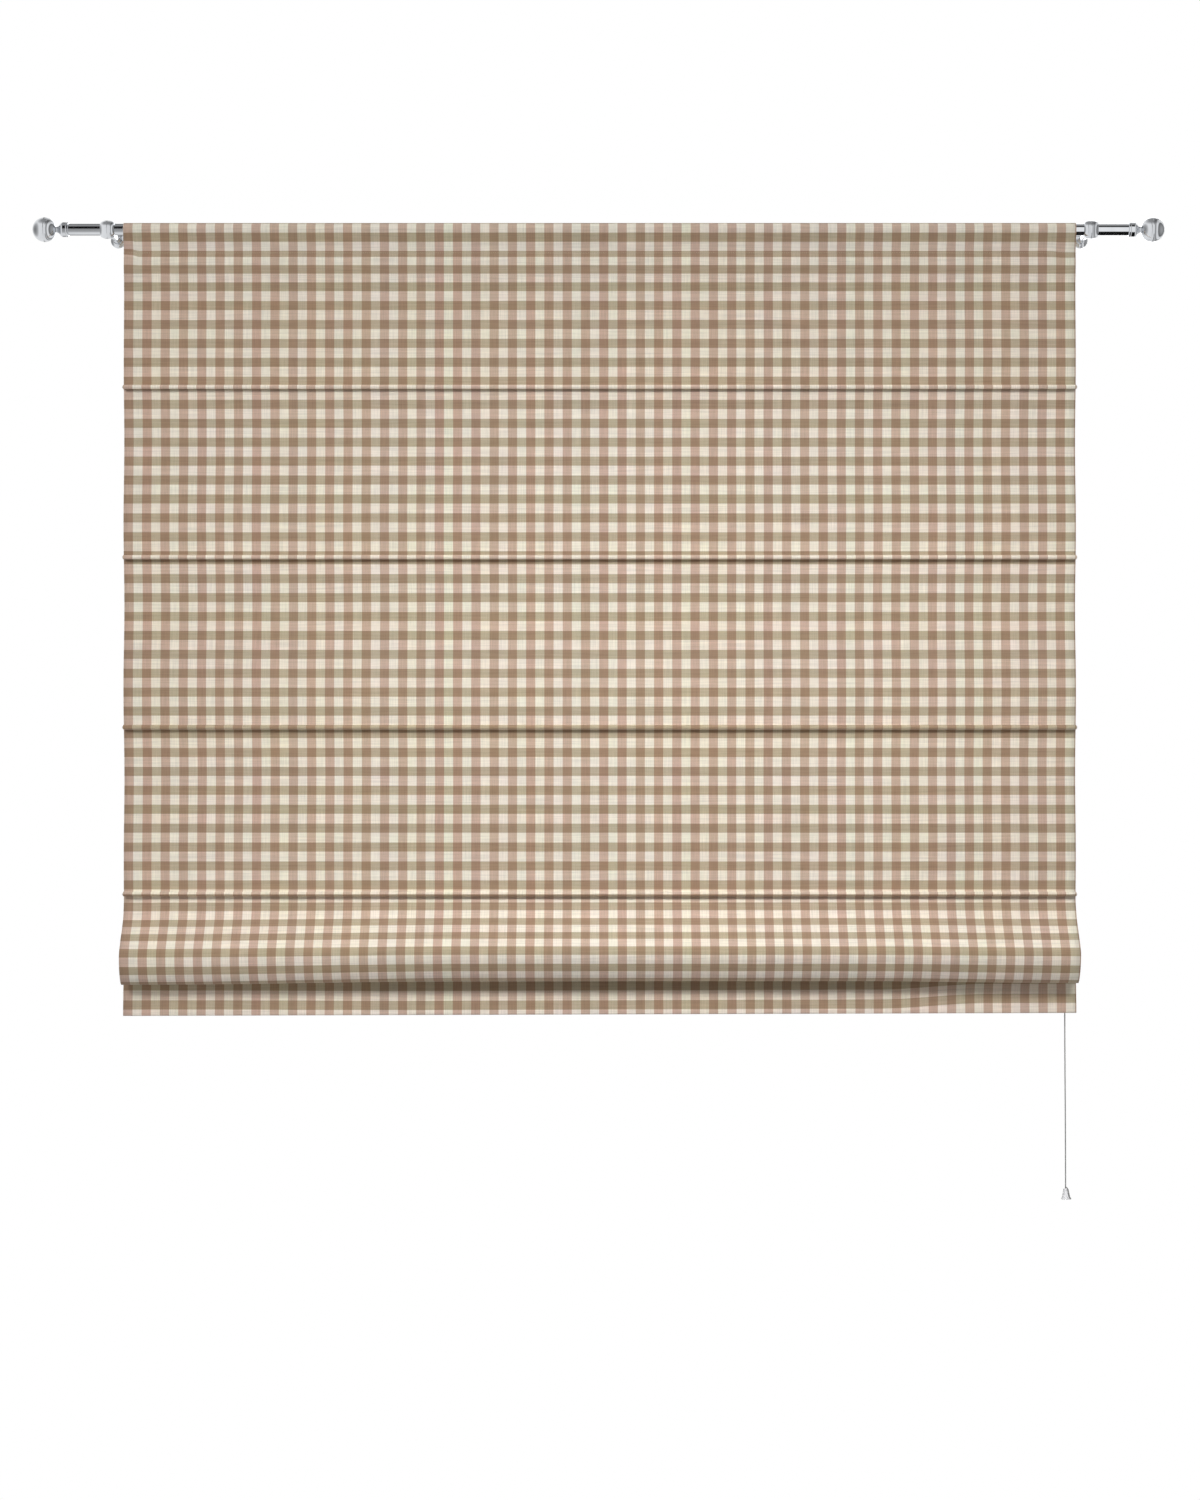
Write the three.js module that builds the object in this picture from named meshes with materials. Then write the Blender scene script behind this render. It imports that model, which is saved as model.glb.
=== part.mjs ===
// Roman blind in a woven check cotton, drawn up by one pleat, on a chrome pole with two wall brackets.
// Millimetres. X runs to the right, Z up, the wall is the plane Y = 0 and the room lies towards -Y.
// The origin is on the wall, midway between the two wall plates, at the height of the pole's axis.

import * as THREE from "three";

const fitGap = 0.3; // between pieces that touch
const turnedSides = 24; // round the pole and the turned fittings

// Pole
const poleReach = 116; // wall to the pole's axis
const poleRadius = 9.5;
const poleWall = 1.2;
const poleShift = -1.2; // middle of the pole from the origin
const poleHalfLength = 880;

// Finials
const capEntry = 870; // open end of the cap from the pole's middle
const capDepth = 14.5;
const capRadius = 12;
const capChamfer = 0.8;
const socketDepth = 11.3;
const neckRadius = 5.2;
const ballRadius = 20;
const ballCentre = 39.5; // from the cap's open end

// Brackets
const ringSpacing = 1614; // between the two bracket rings
const ringWidth = 23;
const ringRadius = 15;
const ringLip = 1.6; // material at the ring's ends, outside its bore
const armRadius = 5;
const plateRadius = 12.5;
const plateDepth = 9;
const plateBoss = 7.2; // radius where the arm leaves the plate

// Cloth
const clothThickness = 1.2;
const clothWidth = 1560;
const clothShift = 2; // middle of the cloth from the origin
const clothSteps = 16; // sections along the width
const layerGap = 0.4; // between two layers that are sewn together
const poleEase = 0.45; // between the pole and the cloth over it
const pocketSeam = 36; // below the pole's axis
const flapSeam = 75;
const flapEnd = 80;
const turnIn = 10; // raw edge turned in under a hem
const tuckDrops = [263, 542, 821, 1094.5]; // bottom of each front tuck below the pole's axis
const tuckReach = 11; // front of a tuck before the hanging plane
const wrapRadius = 3.2; // middle of the cloth round a rod
const liftLine = 1128; // fifth tuck's seam below the pole's axis
const liftedFoldOut = 6.4; // half the width of the fold that the lifting line holds up
const hemBottom = 1288;
const hemSlope = 2.5; // the bottom edge hangs lower by this at the left and higher at the right
const hemDepth = 40;
const hemOut = 10; // bottom edge before the hanging plane
const hemTopOut = 6.5;
const hemRoll = 2.4; // radius of the fold at the bottom edge

// Stiffening rods
const rodRadius = 2;
const rodOverhang = 3; // rod end beyond the cloth's edge
const rodSides = 12;

// Pull cord
const cordDiameter = 2;
const cordX = 767;
const cordBehind = 15; // cord's axis behind the hanging plane
const cordBottom = 1590;
const cordSides = 8;
const cordSteps = 64;
const guideTop = 46;
const guideBottom = 74;
const guideWidth = 16;
const guideDepth = 14;
const guideCorner = 2.5;
const pullHeight = 18.5;
const pullRise = 14.5; // top of the bell above the cord's lowest point
const knotRadius = 2.6;
const knotDrop = 6; // cord's end above its lowest point

// How the raised pleat hangs, from the fourth tuck down and round to its lowest point. Each row is a stretch
// of cloth: its length, how far it leans forward of straight down in mid-width, and the same at the sides.
const loopFront = [
  { length: 10, lean: 14, sideLean: 16 },
  { length: 15, lean: 30, sideLean: 32 },
  { length: 16, lean: 37, sideLean: 37 },
  { length: 15, lean: 45, sideLean: 42 },
  { length: 16, lean: 44, sideLean: 40 },
  { length: 15, lean: 46, sideLean: 38 },
  { length: 16, lean: 41, sideLean: 31 },
  { length: 7, lean: 26, sideLean: 18 },
  { length: 7, lean: 4, sideLean: 6 },
  { length: 8, lean: -16, sideLean: -3 },
  { length: 8, lean: -27, sideLean: -10 },
  { length: 8, lean: -30, sideLean: -16 },
  { length: 8, lean: -33, sideLean: -22 },
  { length: 8, lean: -42, sideLean: -32 },
  { length: 8, lean: -50, sideLean: -46 },
  { length: 6, lean: -62, sideLean: -64 },
  { length: 6, lean: -78, sideLean: -84 },
  { length: 5, lean: -105, sideLean: -112 },
  { length: 5, lean: -135, sideLean: -140 },
  { length: 6, lean: -155, sideLean: -156 },
];

// Where the middle of the cloth runs round a front tuck: out before the hanging plane, and above the rod's
// middle. The cloth wraps the rod between the two lists.
const tuckOverRod = [[0, 7], [0, 4.9], [0.9, 3.7], [2.4, 3.3]];
const tuckUnderRod = [[1.7, 1.55], [0.5, 1.35], [0, 0.2], [0, -4]];

// One side of the fifth tuck: from the lifted fold down to the rod inside it, out and above the lifting line.
const liftedNeck = [[5.9, -2.6], [4, -0.9], [2.1, -1.3], [1, -3]];
const liftedRodDrop = 11.5; // rod's middle below the lifting line
const liftedFoldDrop = 10;

const hangPlane = -poleReach;
const seamPitch = clothThickness + layerGap; // between the middles of two layers that are sewn together
const tuckRodOut = tuckReach - wrapRadius - clothThickness / 2;
const liftedRodHeight = -liftLine - liftedRodDrop;

function tuckRodHeight(drop) {
  return -drop + wrapRadius + clothThickness / 2;
}

function smoothStep(from, to, x) {
  return THREE.MathUtils.smoothstep(x, from, to);
}

// The middle of the cloth seen from its side: how far out it stands before the hanging plane, and its height.
class ClothPath {
  constructor(out, height) {
    this.points = [new THREE.Vector2(out, height)];
  }

  get last() {
    return this.points[this.points.length - 1];
  }

  to(...places) {
    for (const [out, height] of places) this.points.push(new THREE.Vector2(out, height));
    return this;
  }

  arc(out, height, radius, fromDegrees, toDegrees, steps) {
    for (let i = 0; i <= steps; i += 1) {
      const angle = THREE.MathUtils.degToRad(fromDegrees + ((toDegrees - fromDegrees) * i) / steps);
      this.to([out + radius * Math.cos(angle), height + radius * Math.sin(angle)]);
    }
    return this;
  }

  walk(length, leanDegrees) {
    const lean = THREE.MathUtils.degToRad(leanDegrees);
    const start = this.last;
    return this.to([start.x + length * Math.sin(lean), start.y - length * Math.cos(lean)]);
  }
}

// Heading: the raw edge turned in, the flap behind, the pocket over the pole and its seam.
function addHeading(path) {
  const flapOut = -2 * seamPitch;
  path.to(
    [-seamPitch, -flapEnd + 1],
    [-1.5 * seamPitch, -flapEnd + 0.2],
    [flapOut, -flapEnd + 1],
    [flapOut, -flapSeam],
    [flapOut, -pocketSeam - 9],
    [-seamPitch, -pocketSeam],
  );
  path.arc(0, 0, poleRadius + poleEase + clothThickness / 2, 194, -17, 12);
  path.to([0, -pocketSeam], [0.9, (-pocketSeam - flapSeam) / 2], [0, -flapSeam], [0, -flapSeam - 12]);
}

// The front layer between two tucks, with the slight swell that the cloth keeps.
function addPanel(path, topHeight, bottomHeight, swell) {
  for (const share of [0.25, 0.5, 0.75]) {
    const height = THREE.MathUtils.lerp(topHeight, bottomHeight, share);
    path.to([swell * Math.sin(Math.PI * share), height]);
  }
}

// A tuck that stands forward round its rod, like a small lip, and comes back to its seam.
function addTuck(path, rodHeight) {
  path.to(...tuckOverRod.map(([out, rise]) => [out, rodHeight + rise]));
  path.arc(tuckRodOut, rodHeight, wrapRadius, 90, -136, 5);
  path.to(...tuckUnderRod.map(([out, rise]) => [out, rodHeight + rise]));
}

// The raised pleat: forward and down, under, and up behind to the fifth tuck.
function addLoop(path, side) {
  for (const row of loopFront) path.walk(row.length, THREE.MathUtils.lerp(row.lean, row.sideLean, side));
  const bottom = path.last;
  for (const share of [0.35, 0.7]) {
    path.to([
      THREE.MathUtils.lerp(bottom.x, liftedFoldOut, share) - 0.8,
      THREE.MathUtils.lerp(bottom.y, -liftLine - liftedFoldDrop, share),
    ]);
  }
  path.to([liftedFoldOut, -liftLine - liftedFoldDrop]);
}

// The fifth tuck hangs inside the fold that the lifting line holds up, with its rod in it.
function addLiftedTuck(path) {
  path.to(...liftedNeck.map(([out, rise]) => [out, -liftLine + rise]));
  path.arc(0, liftedRodHeight, wrapRadius, 62, -242, 6);
  path.to(...liftedNeck.toReversed().map(([out, rise]) => [-out, -liftLine + rise]));
  path.to([-liftedFoldOut, -liftLine - liftedFoldDrop]);
}

// The skirt below the fifth tuck and its hem, turned to the back with the raw edge turned in.
function addSkirt(path, bottomDrop, sag) {
  const top = path.last;
  const foldHeight = -bottomDrop + hemRoll + clothThickness / 2;
  const hemTop = foldHeight + hemDepth;
  for (const share of [0.33, 0.67, 1]) {
    const out = THREE.MathUtils.lerp(top.x, hemTopOut, share) - sag * Math.sin(Math.PI * share);
    path.to([out, THREE.MathUtils.lerp(top.y, hemTop, share)]);
  }
  path.arc(hemOut - hemRoll, foldHeight, hemRoll, 0, -150, 4);
  const layer = (rise, layers) => [
    THREE.MathUtils.mapLinear(rise, 0, hemDepth, hemOut, hemTopOut) - layers * seamPitch,
    foldHeight + rise,
  ];
  path.to(
    layer(9, 2),
    layer(hemDepth - 1, 2),
    layer(hemDepth - 0.2, 1.5),
    layer(hemDepth - 1, 1),
    layer(hemDepth - turnIn, 1),
  );
}

// The whole length of cloth at one place across the width: -1 is the left edge and 1 the right one.
function clothPathAt(across) {
  const path = new ClothPath(-seamPitch, -flapEnd + turnIn);
  addHeading(path);
  let panelTop = -flapSeam - 12;
  tuckDrops.forEach((drop, index) => {
    const rodHeight = tuckRodHeight(drop);
    const swell = 1.2 * Math.sin(2.3 * across + 1.9 * index + 0.6);
    addPanel(path, panelTop, rodHeight + 7, swell);
    addTuck(path, rodHeight);
    panelTop = rodHeight - 4;
  });
  const side = Math.max(smoothStep(0.25, 1, -across), 0.45 * smoothStep(0.55, 1, across));
  addLoop(path, side);
  addLiftedTuck(path);
  addSkirt(path, hemBottom - hemSlope * across, 3.5 * (1 - side) + 1.5 * Math.sin(5 * across + 1));
  return path.points;
}

// Both faces of the cloth, offset from its middle, as one closed outline.
function clothOutline(middle) {
  const front = [];
  const back = [];
  middle.forEach((point, index) => {
    const before = middle[Math.max(index - 1, 0)];
    const after = middle[Math.min(index + 1, middle.length - 1)];
    const arriving = (index > 0 ? point.clone().sub(before) : after.clone().sub(point)).normalize();
    const leaving = (index < middle.length - 1 ? after.clone().sub(point) : arriving.clone()).normalize();
    const along = arriving.clone().add(leaving).normalize();
    const reach = clothThickness / 2 / Math.max(along.dot(arriving), 0.6);
    const sideways = new THREE.Vector2(-along.y, along.x).multiplyScalar(reach);
    front.push(point.clone().add(sideways));
    back.push(point.clone().sub(sideways));
  });
  return [...front, ...back.reverse()];
}

// Which of the outline's points lies nearest to a place.
function nearestIndex(outline, x, y) {
  let best = 0;
  let shortest = Infinity;
  outline.forEach((point, index) => {
    const distance = Math.hypot(point.x - x, point.y - y);
    if (distance < shortest) {
      shortest = distance;
      best = index;
    }
  });
  return best;
}

// How far the side edges swing out and in, by height: nothing at the pole and at the bottom edge.
function edgeSwing(height) {
  return 0.8 * Math.sin(height / 44) * Math.sin(Math.PI * Math.min(Math.abs(height) / hemBottom, 1));
}

// The outline in mid-width is extruded across the cloth, then every section takes its own shape.
function clothGeometry() {
  const flatten = (outline) => outline.map((point) => new THREE.Vector2(-point.x, point.y));
  const middleOutline = flatten(clothOutline(clothPathAt(0)));
  const geometry = new THREE.ExtrudeGeometry(new THREE.Shape(middleOutline), {
    depth: 1,
    steps: clothSteps,
    bevelEnabled: false,
  });
  const sections = new Map();
  const position = geometry.getAttribute("position");
  for (let i = 0; i < position.count; i += 1) {
    const index = nearestIndex(middleOutline, position.getX(i), position.getY(i));
    const across = 2 * position.getZ(i) - 1;
    const key = across.toFixed(4);
    if (!sections.has(key)) sections.set(key, flatten(clothOutline(clothPathAt(across))));
    const point = sections.get(key)[index];
    const halfWidth = clothWidth / 2 + edgeSwing(point.y);
    position.setXYZ(i, clothShift + across * halfWidth, hangPlane + point.x, point.y);
  }
  geometry.computeVertexNormals();
  return geometry;
}

// A piece turned round its own axis, from a list of places along the axis and radii.
function turned(profile) {
  const points = profile.map(([along, radius]) => new THREE.Vector2(radius, along));
  return new THREE.LatheGeometry(points, turnedSides);
}

function turnedAlongX(profile) {
  return outwards(turned(profile).rotateZ(-Math.PI / 2));
}

function turnedAlongZ(profile) {
  return outwards(turned(profile).rotateX(Math.PI / 2));
}

// A profile that runs the other way round would turn the faces inwards, so they are turned back.
function outwards(geometry) {
  const position = geometry.getAttribute("position");
  const index = geometry.getIndex();
  const [a, b, c] = [new THREE.Vector3(), new THREE.Vector3(), new THREE.Vector3()];
  let volume = 0;
  for (let i = 0; i < index.count; i += 3) {
    a.fromBufferAttribute(position, index.getX(i));
    b.fromBufferAttribute(position, index.getX(i + 1));
    c.fromBufferAttribute(position, index.getX(i + 2));
    volume += a.dot(b.cross(c));
  }
  if (volume < 0) {
    for (let i = 0; i < index.count; i += 3) {
      const first = index.getX(i);
      index.setX(i, index.getX(i + 2));
      index.setX(i + 2, first);
    }
  }
  return geometry;
}

// Places on an arc round the axis; its two ends are put on the axis itself where they come that near.
function arcProfile(centre, radius, fromDegrees, toDegrees, steps) {
  const points = [];
  for (let i = 0; i <= steps; i += 1) {
    const angle = THREE.MathUtils.degToRad(fromDegrees + ((toDegrees - fromDegrees) * i) / steps);
    const away = Math.abs(Math.sin(angle)) < 1e-9 ? 0 : radius * Math.sin(angle);
    points.push([centre + radius * Math.cos(angle), away]);
  }
  return points;
}

const chrome = { color: 0xc9ccd0, roughness: 0.08, metalness: 1 };
const clothFinish = { color: 0xc9b49b, roughness: 0.9, metalness: 0 };
const whitePlastic = { color: 0xf0efec, roughness: 0.35, metalness: 0 };
const cordFinish = { color: 0xd8d8d6, roughness: 0.8, metalness: 0 };

const blind = new THREE.Group();

function addMesh(name, geometry, finish, place = [0, 0, 0], parent = blind) {
  const mesh = new THREE.Mesh(geometry, new THREE.MeshStandardMaterial(finish));
  mesh.name = name;
  mesh.position.set(...place);
  parent.add(mesh);
  return mesh;
}

// Pole: a tube on the brackets.
const pole = new THREE.Group();
pole.position.set(poleShift, -poleReach, 0);
blind.add(pole);
const innerRadius = poleRadius - poleWall;
addMesh("pole", turnedAlongX([
  [-poleHalfLength, innerRadius],
  [-poleHalfLength, poleRadius],
  [poleHalfLength, poleRadius],
  [poleHalfLength, innerRadius],
  [-poleHalfLength, innerRadius],
]), chrome, [0, 0, 0], pole);

// Finial: a cap over the end of the pole, a short neck and a ball. Its open end is at 0, the ball further out.
function finialGeometry() {
  const ballStart = 180 - THREE.MathUtils.radToDeg(Math.asin(neckRadius / ballRadius));
  return turnedAlongX([
    [socketDepth, 0],
    [socketDepth, poleRadius + fitGap],
    [0, poleRadius + fitGap],
    [0, capRadius - capChamfer],
    [capChamfer, capRadius],
    [capDepth - 5.5, capRadius],
    [capDepth - 4.7, capRadius - capChamfer],
    [capDepth - 1.6, capRadius - 1.4],
    [capDepth + 0.6, neckRadius + 2.6],
    [capDepth + 2.6, neckRadius],
    ...arcProfile(ballCentre, ballRadius, ballStart, 0, 12),
  ]);
}

addMesh("finial_right", finialGeometry(), chrome, [capEntry, 0, 0], pole);
const leftFinial = new THREE.Group();
leftFinial.rotation.z = Math.PI;
leftFinial.position.x = -capEntry;
pole.add(leftFinial);
addMesh("finial_left", finialGeometry(), chrome, [0, 0, 0], leftFinial);

// Bracket: a rounded ring round the pole, an arm straight back and a domed plate on the wall.
function ringGeometry() {
  const half = ringWidth / 2;
  const bore = poleRadius + fitGap;
  return turnedAlongX([
    [-half, bore],
    [-half, bore + ringLip],
    [-half + 2, ringRadius - 2.1],
    [-half + 5, ringRadius - 0.7],
    [-half + 9, ringRadius],
    [half - 9, ringRadius],
    [half - 5, ringRadius - 0.7],
    [half - 2, ringRadius - 2.1],
    [half, bore + ringLip],
    [half, bore],
    [-half, bore],
  ]);
}

function plateGeometry() {
  return outwards(turned([
    [-plateDepth, 0],
    [-plateDepth, plateBoss],
    [-plateDepth + 2, plateBoss + 0.6],
    [-plateDepth + 3.4, plateRadius - 3],
    [-plateDepth + 5.4, plateRadius - 0.8],
    [-2, plateRadius],
    [0, plateRadius],
    [0, 0],
  ]));
}

for (const [name, side] of [["left", -1], ["right", 1]]) {
  const bracket = new THREE.Group();
  bracket.position.x = (side * ringSpacing) / 2;
  blind.add(bracket);
  addMesh(`ring_${name}`, ringGeometry(), chrome, [0, -poleReach, 0], bracket);
  addMesh(`wall_plate_${name}`, plateGeometry(), chrome, [0, 0, 0], bracket);
  const armStart = -poleReach + ringRadius + fitGap;
  const armLength = -plateDepth - fitGap - armStart;
  const arm = new THREE.CylinderGeometry(armRadius, armRadius, armLength, turnedSides);
  addMesh(`arm_${name}`, arm, chrome, [0, armStart + armLength / 2, 0], bracket);
}

// Cloth and the rods in its tucks.
addMesh("blind_cloth", clothGeometry(), clothFinish);

const rodLength = clothWidth + 2 * rodOverhang;
const rodPlaces = [
  ...tuckDrops.map((drop) => [tuckRodOut, tuckRodHeight(drop)]),
  [0, liftedRodHeight],
];
rodPlaces.forEach(([out, height], index) => {
  const rod = new THREE.CylinderGeometry(rodRadius, rodRadius, rodLength, rodSides).rotateZ(Math.PI / 2);
  addMesh(`rod_${index + 1}`, rod, whitePlastic, [clothShift, hangPlane - out, height]);
});

// Cord guide on the back of the heading: a small block with its two back corners cut off.
function guideGeometry() {
  const half = guideWidth / 2;
  const outline = new THREE.Shape([
    new THREE.Vector2(-half, 0),
    new THREE.Vector2(half, 0),
    new THREE.Vector2(half, guideDepth - guideCorner),
    new THREE.Vector2(half - guideCorner, guideDepth),
    new THREE.Vector2(-half + guideCorner, guideDepth),
    new THREE.Vector2(-half, guideDepth - guideCorner),
  ]);
  return new THREE.ExtrudeGeometry(outline, {
    depth: guideBottom - guideTop,
    steps: 1,
    bevelEnabled: false,
  });
}

const flapBack = 2 * seamPitch + clothThickness / 2;
const guidePlace = [cordX, hangPlane + flapBack + fitGap, -guideBottom];
addMesh("cord_guide", guideGeometry(), whitePlastic, guidePlace);

// Pull cord: straight down behind the blind from the guide to the knot in its bell.
// Each place is how far the cord wanders sideways, how far behind the hanging plane it is, and its drop.
const cordRoute = [
  [0, 12, guideBottom + fitGap],
  [0, 12.2, 90],
  [0.1, 12.9, 120],
  [0.2, 13.8, 165],
  [0.3, 14.5, 225],
  [0.2, cordBehind, 310],
  [0, cordBehind, 410],
  [-0.2, cordBehind, 520],
  [-0.3, cordBehind, 640],
  [-0.1, cordBehind, 760],
  [0.2, cordBehind, 880],
  [0.4, cordBehind, 1000],
  [0.3, cordBehind, 1110],
  [0, cordBehind, 1210],
  [-0.3, cordBehind, 1300],
  [0.1, cordBehind, 1385],
  [0.6, cordBehind, 1460],
  [0.9, cordBehind, 1525],
  [1, cordBehind, 1565],
  [1, cordBehind, cordBottom - knotDrop],
];

function cordGeometry() {
  const places = cordRoute.map(([aside, behind, drop]) => (
    new THREE.Vector3(cordX + aside, hangPlane + behind, -drop)
  ));
  const circle = new THREE.EllipseCurve(0, 0, cordDiameter / 2, cordDiameter / 2);
  const section = new THREE.Shape(circle.getPoints(cordSides).slice(0, cordSides));
  return new THREE.ExtrudeGeometry(section, {
    steps: cordSteps,
    bevelEnabled: false,
    extrudePath: new THREE.CatmullRomCurve3(places, false, "centripetal"),
  });
}
addMesh("draw_cord", cordGeometry(), cordFinish);

// Bell pull, hollow from below, with the cord through its crown and the knot under it.
function pullGeometry() {
  const bore = cordDiameter / 2 + fitGap;
  return turnedAlongZ([
    [-pullHeight, 6.6],
    [-pullHeight, 7.6],
    [-pullHeight + 1.4, 7.7],
    [-pullHeight * 0.7, 6.3],
    [-pullHeight * 0.4, 5],
    [-2.4, 3.9],
    [-0.6, 3.2],
    [0, 2.4],
    [0, bore],
    [-4.6, bore],
    [-5, 3.2],
    [-pullHeight * 0.6, 4.6],
    [-pullHeight, 6.6],
  ]);
}

const [endAside, endBehind] = cordRoute[cordRoute.length - 1];
const pullPlace = [cordX + endAside, hangPlane + endBehind, -cordBottom + pullRise];
addMesh("cord_pull", pullGeometry(), whitePlastic, pullPlace);
const knotPlace = [pullPlace[0], pullPlace[1], -cordBottom + knotDrop - fitGap - knotRadius];
addMesh("cord_knot", new THREE.SphereGeometry(knotRadius, 12, 8), cordFinish, knotPlace);

export default blind;
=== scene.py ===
# Roman blind in a woven check on a chrome pole: the finish of every piece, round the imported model.
# Metres, X to the right, Z up; the wall is Y = 0 and the room lies towards -Y.

import math
from functools import partial

import bmesh
import bpy
import numpy as np
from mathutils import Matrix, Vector


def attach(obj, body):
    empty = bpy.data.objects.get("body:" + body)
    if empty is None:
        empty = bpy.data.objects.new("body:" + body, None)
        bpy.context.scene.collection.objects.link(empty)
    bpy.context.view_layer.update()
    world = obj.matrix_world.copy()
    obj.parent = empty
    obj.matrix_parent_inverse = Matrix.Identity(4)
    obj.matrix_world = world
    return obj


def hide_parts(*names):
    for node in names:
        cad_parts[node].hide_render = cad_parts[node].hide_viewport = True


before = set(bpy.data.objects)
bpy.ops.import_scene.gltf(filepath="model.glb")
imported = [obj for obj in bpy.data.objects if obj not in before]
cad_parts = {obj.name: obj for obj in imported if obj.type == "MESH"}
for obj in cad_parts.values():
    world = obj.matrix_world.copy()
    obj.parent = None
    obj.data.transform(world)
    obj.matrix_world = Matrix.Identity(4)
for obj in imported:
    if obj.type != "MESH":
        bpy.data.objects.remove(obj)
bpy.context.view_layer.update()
scene = bpy.context.scene
mm = 0.001


def linked(name, data):
    # An object for this data, in the scene
    made = bpy.data.objects.new(name, data)
    scene.collection.objects.link(made)
    return made


# View: the picture is 1200 x 1500, level, straight in front of the blind
view = {
    "distance": 5.2,  # from the plane in which the cloth hangs
    "side": 0.0013,
    "height": -0.8544,
    "lens": 76.0,
    "sensor": 36,
}
hangPlane = -0.116  # the pole's axis, with the cloth straight below it

camera = linked("camera", bpy.data.cameras.new("camera"))
camera.data.lens = view["lens"]
camera.data.sensor_width = view["sensor"]
camera.location = (view["side"], hangPlane - view["distance"], view["height"])
camera.rotation_euler = (math.radians(90), 0, 0)
scene.camera = camera
scene.view_settings.view_transform = "Standard"  # whites stay white, as in the photograph


def srgb(hexColour):
    channels = [int(hexColour[i : i + 2], 16) / 255 for i in (1, 3, 5)]
    return (*(c / 12.92 if c <= 0.04045 else ((c + 0.055) / 1.055) ** 2.4 for c in channels), 1.0)


def addNode(tree, kind, inputs=(), operation=None, **settings):
    # A kind without a prefix is a shader's node, and a value that is a node stands for its result
    node = tree.nodes.new(kind if kind.startswith(("Geometry", "Function", "Node")) else "ShaderNode" + kind)
    if operation:
        node.operation = operation
    for name, value in settings.items():
        setattr(node, name, value)
    for key, value in inputs.items() if isinstance(inputs, dict) else enumerate(inputs):
        if isinstance(value, bpy.types.Node):
            value = value.outputs[2 if value.bl_idname == "ShaderNodeMix" else 0]
        if isinstance(value, bpy.types.NodeSocket):
            tree.links.new(value, node.inputs[key])
        else:
            node.inputs[key].default_value = value
    return node


def newMaterial(name):
    material = bpy.data.materials.new(name)
    material.use_nodes = True
    material.node_tree.nodes.clear()
    return material, partial(addNode, material.node_tree)


def finishMaterial(material, values):
    shader = addNode(material.node_tree, "BsdfPrincipled", values)
    addNode(material.node_tree, "OutputMaterial", {"Surface": shader})
    return material


def smoothStep(low, high, x):
    t = np.clip((x - low) / (high - low), 0, 1)
    return t * t * (3 - 2 * t)


def lerp(a, b, share):
    return a + (b - a) * share


def meshPiece(name, vertices, faces, materials, sharpAngle=None, outwards=False):
    mesh = bpy.data.meshes.new(name)
    mesh.from_pydata([tuple(v) for v in vertices], [], faces)
    for material in materials:
        mesh.materials.append(material)
    if outwards:
        shell = bmesh.new()
        shell.from_mesh(mesh)
        bmesh.ops.recalc_face_normals(shell, faces=shell.faces)
        shell.to_mesh(mesh)
        shell.free()
    mesh.shade_smooth()
    if sharpAngle is not None:
        mesh.set_sharp_from_angle(angle=math.radians(sharpAngle))
    return linked(name, mesh)


def smoothProfile(knots, steps=6):
    # A smooth run through the knots (Catmull-Rom), as (along, radius)
    knots = np.array([knots[0], *knots, knots[-1]], float)
    places = []
    for a, b, c, d in zip(knots, knots[1:], knots[2:], knots[3:]):
        square, cube = 2 * a - 5 * b + 4 * c - d, 3 * b - a - 3 * c + d
        for i in range(steps):
            t = i / steps
            places.append((0.5 * (2 * b + (c - a) * t + square * t**2 + cube * t**3)).tolist())
    return [*places, knots[-1].tolist()]


def turnedPiece(name, profile, place, axis, material, sides=72, closed=True, sharpAngle=32):
    # A profile of (along, radius) in mm, turned round an axis; closed joins its end to its start
    axis = Vector(axis).normalized()
    side = axis.orthogonal().normalized()
    up = axis.cross(side)
    place = Vector(place)
    vertices, rings = [], []
    for along, radius in profile:
        count = 1 if radius < 1e-6 else sides
        rings.append([len(vertices) + i % count for i in range(sides)])
        for i in range(count):
            angle = math.tau * i / sides
            away = (side * math.cos(angle) + up * math.sin(angle)) * radius
            vertices.append(place + (axis * along + away) * mm)
    faces = []
    pairs = list(zip(rings, rings[1:]))
    if closed:
        pairs.append((rings[-1], rings[0]))
    for first, second in pairs:
        for i in range(sides):
            j = (i + 1) % sides
            face = list(dict.fromkeys((first[i], first[j], second[j], second[i])))
            if len(face) > 2:
                faces.append(face)
    return meshPiece(name, vertices, faces, [material], sharpAngle, outwards=True)


def curvePiece(name, lines):
    curve = bpy.data.curves.new(name, "CURVE")
    curve.dimensions = "3D"
    for line in lines:
        spline = curve.splines.new("POLY")
        spline.points.add(len(line) - 1)
        for point, place in zip(spline.points, line):
            point.co = (*place, 1)
    return linked(name, curve)


def geometryTree(name, inputs):
    tree = bpy.data.node_groups.new(name, "GeometryNodeTree")
    tree.interface.new_socket("Geometry", in_out="INPUT", socket_type="NodeSocketGeometry")
    for label, kind in inputs.items():
        tree.interface.new_socket(label, in_out="INPUT", socket_type=kind)
    tree.interface.new_socket("Geometry", in_out="OUTPUT", socket_type="NodeSocketGeometry")
    add = partial(addNode, tree)
    return tree, add, add("NodeGroupInput").outputs


def finishTree(add, geometry, material):
    smooth = add("GeometryNodeSetShadeSmooth", [geometry])
    real = add("GeometryNodeRealizeInstances", [smooth])
    painted = add("GeometryNodeSetMaterial", {"Geometry": real, "Material": material})
    add("NodeGroupOutput", {"Geometry": painted})


def runTree(piece, tree, values):
    # The modifier's result becomes the piece's plain mesh
    modifier = piece.modifiers.new("nodes", "NODES")
    modifier.node_group = tree
    for item in tree.interface.items_tree:
        if item.in_out == "INPUT" and item.name in values:
            modifier[item.identifier] = values[item.name]
    return settled(piece)


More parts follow.
